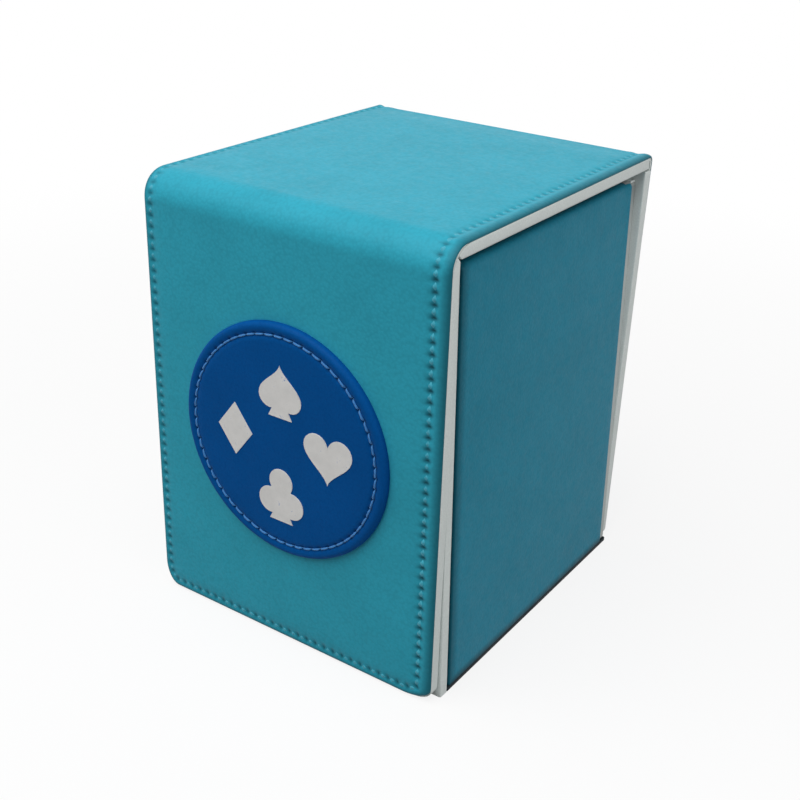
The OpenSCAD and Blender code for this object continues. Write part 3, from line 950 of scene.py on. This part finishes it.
RIM_R = 1.3 * MM
WALL_EDGE_R = 0.5 * MM
WALL_CROWN = 0.12 * MM
# Painted shade on the wall's outer face beside the front groove, where the flap's edge shades it
WALL_FRONT_SHADE = 0.75
GROOVE_W = 0.8 * MM
GROOVE_DEPTH = 0.6 * MM
REAR_STRIP_LOW = 2.6 * MM
REAR_STRIP_HIGH = 2.8 * MM
# Painted shade on the pale strip at the wall's rear end, deepening towards its top under the lid
REAR_STRIP_BASE_SHADE = 0.45
REAR_STRIP_SHADE = 12
WALL_WAVE = 0.6 * UNEVEN
# Painted shadow on the rim's end of the pale strip, under the lid
RIM_SHADE = 0.8
# Painted shade along the wall's lower edge, and the height it covers
LOW_SHADE = 1
LOW_SHADE_W = 2.2 * MM


def wall_profile():
    """The side wall's skin in cross-section: (depth, height, outward depth, outward height, thickness),
    up the outer face, over the rim and down inside it."""
    rim_arc = np.linspace(0, QUARTER, 9)
    low = base_z + np.linspace(0, LOW_SHADE_W, 5)
    rest = np.linspace(base_z + LOW_SHADE_W, rim_z - RIM_R, 48)[1:-1]
    profile = [(0, z, -1, 0, WALL_SKIN_T) for z in [*low, *rest]]
    profile += [
        (RIM_R * (1 - math.cos(a)), rim_z - RIM_R * (1 - math.sin(a)), -math.cos(a), math.sin(a), WALL_SKIN_T)
        for a in rim_arc
    ]
    profile += [
        (WALL_T - RIM_R * (1 - math.sin(a)), rim_z - RIM_R * (1 - math.cos(a)), math.sin(a), math.cos(a),
         WALL_TURN_T)
        for a in rim_arc
    ]
    inside = np.linspace(rim_z - RIM_R, rim_z - TURN_IN, 5)[1:]
    profile += [(WALL_T, z, 1, 0, WALL_TURN_T) for z in inside]
    return profile


def wall(name, side):
    """Skin of one side wall: soft at its cut edges and slightly full between them. It stops on a slant short
    of the rear panel, where the pale lining shows. Painted shade darkens its groove and the face beside it at
    the front, and its lower edge, and greys the pale strip, most at its top and on the rim."""
    build = Build()
    width = side_hi.y - side_lo.y
    ends = WALL_EDGE_R * (1 - np.cos(np.linspace(0, QUARTER, 5)))
    faces = [[], []]
    for depth, z, out_d, out_z, thick in wall_profile():
        height = (z - base_z) / (rim_z - base_z)
        stop = width - REAR_STRIP_LOW - (REAR_STRIP_HIGH - REAR_STRIP_LOW) * height
        flat = np.linspace(GROOVE_W + WALL_EDGE_R, stop - WALL_EDGE_R, 30)
        along = np.concatenate([
            [0, GROOVE_W - HAIR], GROOVE_W + ends[:-1], flat, stop - ends[-2::-1], [stop + HAIR, width],
        ])
        d = np.minimum(along - GROOVE_W, stop - along)
        soft = WALL_EDGE_R - np.sqrt(WALL_EDGE_R**2 - np.clip(WALL_EDGE_R - d, 0, WALL_EDGE_R) ** 2)
        soft[[0, 1, -2, -1]] = GROOVE_DEPTH * max(-out_d, 0)
        # Painted shade beside the front groove
        marks = WALL_FRONT_SHADE * np.clip(1 - (along - GROOVE_W) / SHADE_W, 0, 1)
        # Painted shade along the lower edge of the outer face
        if depth == 0:
            marks = np.maximum(marks, LOW_SHADE * max(1 - (z - base_z) / LOW_SHADE_W, 0))
        # Painted shade on the pale strip, deepening towards the top under the lid
        marks[-2:] = REAR_STRIP_BASE_SHADE + (1 - REAR_STRIP_BASE_SHADE) * np.clip(height, 0, 1) ** REAR_STRIP_SHADE
        # On the rim, the strip gets painted shadow from the lid
        marks[-2:] = RIM_SHADE if depth > 0 else marks[-2:]
        end_y = side_hi.y if depth < WALL_SKIN_T else bay_rear_y
        y = side_lo.y + along * (end_y - side_lo.y) / width
        rise = math.sin(math.pi * height) if depth == 0 else 0
        wave = WALL_WAVE * unevenness(y + side, np.full(len(y), z))
        puff = rise * np.sin(np.pi * along / width) * (WALL_CROWN + wave)
        for face, lift in zip(faces, (puff - soft, np.full(len(y), -thick))):
            x = side * (wall_x(z, depth) - lift * out_d)
            face.append(build.row(np.stack([x, y, z + lift * out_z], axis=1), marks=marks))
    outer, back = faces
    for a, b in zip(outer, outer[1:]):
        # The groove at the front edge takes the dark edge finish, as painted shade in the groove
        build.add(bridge(a[:3], b[:3]), 1)
        build.add(bridge(a[2:-2], b[2:-2]))
        build.add(bridge(a[-3:-1], b[-3:-1]), 1)
        build.add(bridge(a[-2:], b[-2:]), 2)
    for a, b in zip(back, back[1:]):
        build.add(bridge(a, b), 1)
    for k in (0, -1):
        build.add(bridge(outer[k], back[k]), 1)
        build.add(bridge([row[k] for row in outer], [row[k] for row in back]), 1)
    piece = build.make(name + "_cover", [wall_skin, skin_edge, pale])
    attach(piece, "tray")
    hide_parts(name)


wall("right_wall_skin", 1)
wall("left_wall_skin", -1)


# Badge

badge_r = (badge_hi.x - badge_lo.x) / 2
badge_z = (badge_hi.z + badge_lo.z) / 2
badge_t = badge_hi.y - badge_lo.y
badge_stitch_r = badge_r - BADGE_STITCH_INSET
badge_holes = round(2 * math.pi * badge_stitch_r / STITCH_PITCH)
BADGE_EDGE_R = 1.2 * MM
BADGE_DIP = 0.3 * MM
BADGE_DIP_W = 0.75 * MM
BADGE_PIT_R = 0.36 * MM
BADGE_PIT = 0.4 * MM
BADGE_THREAD_R = 0.25 * MM
BADGE_THREAD_BOW = 5
BADGE_THREAD_LIFT = 0.3
BADGE_THREAD_DIVE = 2.6
BADGE_MIDDLE_R = 2 * MM
BADGE_FOOT = 0.3 * MM


def on_badge(r, turn, height):
    """Points on the badge: distance from its middle, angle round it and height above the flap."""
    return np.stack([r * np.cos(turn), badge_hi.y - height, badge_z + r * np.sin(turn)], axis=-1)


def badge():
    build = Build()
    turn = np.linspace(0, 2 * math.pi, badge_holes * ROWS_PER_STITCH, endpoint=False)
    hole = 2 * math.pi / badge_holes
    off_hole = (turn + hole / 2) % hole - hole / 2
    edge_start = badge_r - BADGE_EDGE_R
    radii = np.concatenate([
        np.linspace(BADGE_MIDDLE_R, badge_stitch_r - 2 * BADGE_DIP_W, 12),
        np.linspace(badge_stitch_r - 2 * BADGE_DIP_W, badge_stitch_r + 1.6 * BADGE_DIP_W, 13)[1:],
        edge_start + BADGE_EDGE_R * np.sin(np.linspace(0, QUARTER, 9)),
    ])
    rows = []
    for r in radii:
        past = max(r - edge_start, 0)
        roll = BADGE_EDGE_R - math.sqrt(max(BADGE_EDGE_R**2 - past**2, 0))
        dip = BADGE_DIP * math.exp(-(((r - badge_stitch_r) / BADGE_DIP_W) ** 2))
        away = (r - badge_stitch_r) ** 2 + (r * off_hole) ** 2
        # The needle holes get painted shade as well as depth
        pits = np.exp(-away / (2 * BADGE_PIT_R**2))
        rows.append(build.row(on_badge(r, turn, badge_t - roll - dip - BADGE_PIT * pits), marks=pits))
    rows.append(build.row(on_badge(badge_r, turn, np.full(len(turn), BADGE_FOOT))))
    rows.append(build.row(on_badge(badge_r - BADGE_FOOT, turn, np.zeros(len(turn)))))
    for a, b in zip(rows, rows[1:]):
        build.add(bridge(a, b, closed=True))
    build.add([rows[0], rows[-1][::-1]])
    piece = build.make("badge", [badge_skin], sharp=60)
    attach(piece, "flap")
    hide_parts("badge_patch")


def badge_thread():
    steps = np.linspace(0, 1, 11)
    hole = 2 * math.pi / badge_holes
    turn = hole * (np.arange(badge_holes)[:, None] + steps)
    dive = np.abs(2 * steps - 1) ** BADGE_THREAD_BOW
    height = badge_t - BADGE_DIP + BADGE_THREAD_R * (BADGE_THREAD_LIFT - BADGE_THREAD_DIVE * dive)
    centre = on_badge(badge_stitch_r, turn, np.broadcast_to(height, turn.shape))
    out = np.broadcast_to(np.array([0, -1, 0]), centre.shape)
    piece = thread("badge_stitches", centre, out, blue_thread, BADGE_THREAD_R, BADGE_THREAD_R)
    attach(piece, "flap")
    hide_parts("badge_stitching")


badge()
badge_thread()


# Finish of the pieces that keep their CAD shape

finishes = {
    base_skin: ["base_skin"],
    pale: ["floor_lining", "left_wall_lining", "right_wall_lining", "rear_wall_lining"],
    board: [
        "base_board", "left_wall_board", "right_wall_board", "front_wall_board", "rear_wall_board",
        "rear_panel_board", "lid_board", "flap_board", "badge_core",
    ],
    nickel: ["tray_magnets", "flap_magnets"],
    print_ink: ["badge_print"],
}
for material, names in finishes.items():
    for name in names:
        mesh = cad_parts[name].data
        mesh.materials.clear()
        mesh.materials.append(material)


def soften(name, width):
    """Rounds a CAD node's edges slightly."""
    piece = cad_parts[name]
    weld = piece.modifiers.new("weld", "WELD")
    weld.merge_threshold = SPECK
    bevel = piece.modifiers.new("bevel", "BEVEL")
    bevel.width = width
    bevel.segments = 3
    bevel.limit_method = "ANGLE"
    bevel.angle_limit = math.radians(40)


soften("base_skin", 0.25 * MM)
soften("badge_print", 0.04 * MM)
soften("tray_magnets", 0.2 * MM)
soften("flap_magnets", 0.2 * MM)


# Stage: floor, light and camera

AMBIENT = 0.22
FLOOR_TONE = 0.93
FLOOR_BOUNCE = 0.28
SHADOW_SHARE = 0.16
FLOOR_CLEAR = 0.13
FLOOR_FADE = 0.4
KEY_POWER = 7.2
KEY_SIZE = 0.9
KEY_PLACE = Vector((-0.1, -0.35, 0.79))
SIDE_POWER = 3.4
SIDE_SIZE = 0.6
SIDE_PLACE = Vector((0.95, 0.15, 0.15))


def seen_directly(tree):
    """1 for rays from the camera and for those that gloss and glass send on."""
    path = node(tree, "ShaderNodeLightPath").outputs
    seen = path["Is Camera Ray"]
    for kind in ("Is Glossy Ray", "Is Transmission Ray"):
        seen = node(tree, "ShaderNodeMath", {0: seen, 1: path[kind]}, operation="MAXIMUM").outputs["Value"]
    return seen


def make_floor():
    """White floor that keeps the box's shadow and fades to clear white away from it."""
    bpy.ops.mesh.primitive_plane_add(size=6, location=(0, 0, -HAIR))
    floor = bpy.context.object
    floor.name = "floor"
    material = bpy.data.materials.new("floor")
    material.use_nodes = True
    tree = material.node_tree
    tree.nodes.clear()
    place = node(tree, "ShaderNodeTexCoord").outputs["Object"]
    away = node(tree, "ShaderNodeVectorMath", {0: place}, operation="LENGTH").outputs["Value"]
    fade = node(
        tree,
        "ShaderNodeMapRange",
        {"Value": away, "From Min": FLOOR_CLEAR, "From Max": FLOOR_FADE, "To Min": 1 - SHADOW_SHARE},
        interpolation_type="SMOOTHSTEP",
    ).outputs["Result"]
    seen = seen_directly(tree)
    share = node(tree, "ShaderNodeMath", {0: fade, 1: seen}, operation="MULTIPLY")
    tone = blend_colours(tree, seen, shade((1, 1, 1), FLOOR_BOUNCE), shade((1, 1, 1), FLOOR_TONE))
    lit = node(tree, "ShaderNodeBsdfDiffuse", {"Color": tone})
    white = node(tree, "ShaderNodeEmission", {"Color": (1, 1, 1, 1), "Strength": 1})
    mix = node(
        tree, "ShaderNodeMixShader", {0: share.outputs["Value"], 1: lit.outputs[0], 2: white.outputs[0]}
    )
    node(tree, "ShaderNodeOutputMaterial", {"Surface": mix.outputs[0]})
    floor.data.materials.append(material)


def make_world():
    world = bpy.data.worlds.new("studio")
    bpy.context.scene.world = world
    world.use_nodes = True
    tree = world.node_tree
    tree.nodes.clear()
    dim = node(tree, "ShaderNodeBackground", {"Color": (1, 1, 1, 1), "Strength": AMBIENT})
    white = node(tree, "ShaderNodeBackground", {"Color": (1, 1, 1, 1), "Strength": 1})
    mix = node(tree, "ShaderNodeMixShader", {0: seen_directly(tree), 1: dim.outputs[0], 2: white.outputs[0]})
    node(tree, "ShaderNodeOutputWorld", {"Surface": mix.outputs[0]})


def make_lamp(name, power, size, place):
    light = bpy.data.lights.new(name, "AREA")
    light.energy = power
    light.size = size
    lamp = bpy.data.objects.new(name, light)
    bpy.context.scene.collection.objects.link(lamp)
    lamp.location = place
    lamp.rotation_euler = (VIEW_TARGET - place).to_track_quat("-Z", "Y").to_euler()


def make_camera():
    azimuth, elevation, roll = (math.radians(a) for a in (VIEW_AZIMUTH, VIEW_ELEVATION, VIEW_ROLL))
    level = math.cos(elevation)
    back = Vector((level * math.sin(azimuth), -level * math.cos(azimuth), math.sin(elevation)))
    level_right = (-back).cross(Vector((0, 0, 1))).normalized()
    level_up = level_right.cross(-back)
    right = math.cos(roll) * level_right + math.sin(roll) * level_up
    up = math.cos(roll) * level_up - math.sin(roll) * level_right
    data = bpy.data.cameras.new("camera")
    data.lens = LENS_MM
    data.sensor_width = SENSOR_MM
    data.clip_start = 0.01
    data.clip_end = 20
    camera = bpy.data.objects.new("camera", data)
    bpy.context.scene.collection.objects.link(camera)
    camera.matrix_world = Matrix.Translation(VIEW_TARGET + back * VIEW_DISTANCE) @ Matrix(
        (right, up, back)
    ).transposed().to_4x4()
    bpy.context.scene.camera = camera


make_floor()
make_world()
make_lamp("key", KEY_POWER, KEY_SIZE, KEY_PLACE)
make_lamp("side", SIDE_POWER, SIDE_SIZE, SIDE_PLACE)
make_camera()
bpy.context.scene.view_settings.view_transform = "Standard"
